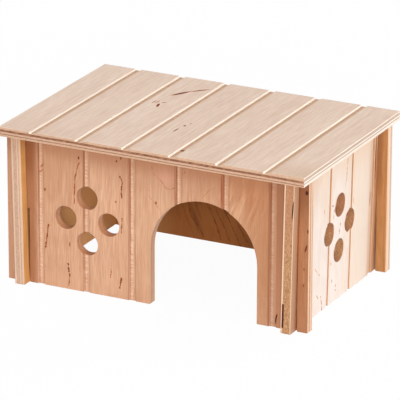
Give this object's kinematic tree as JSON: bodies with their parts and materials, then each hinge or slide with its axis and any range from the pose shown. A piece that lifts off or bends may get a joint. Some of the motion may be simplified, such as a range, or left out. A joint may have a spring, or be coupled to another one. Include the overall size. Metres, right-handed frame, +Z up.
{
  "type": "small animal house",
  "caption": "Flat-roofed wooden shelter for a hamster: grooved plywood walls halved together at the corners, an arched doorway, round peep holes and a lift-off roof.",
  "frame": {"origin": "on the floor, under the middle of the roof", "axes": "+X along the front wall towards the doorway's end, +Y from the front wall to the back wall, +Z up"},
  "size_m": [0.16, 0.108, 0.079],
  "materials": {
    "birch_plywood": "bare plywood, sanded, with its layers showing at the edges",
    "softwood": "bare planed strip"
  },
  "bodies": {
    "walls": {"left_wall": "birch_plywood", "right_wall": "birch_plywood", "front_wall": "birch_plywood", "back_wall": "birch_plywood"},
    "roof": {"roof_panel": "birch_plywood", "left_batten": "softwood", "right_batten": "softwood"}
  },
  "joints": [
    {"name": "roof_lift", "type": "slide", "parent": "walls", "child": "roof", "axis": [0, 0, 1], "range_m": [0, 0.05]}
  ]
}
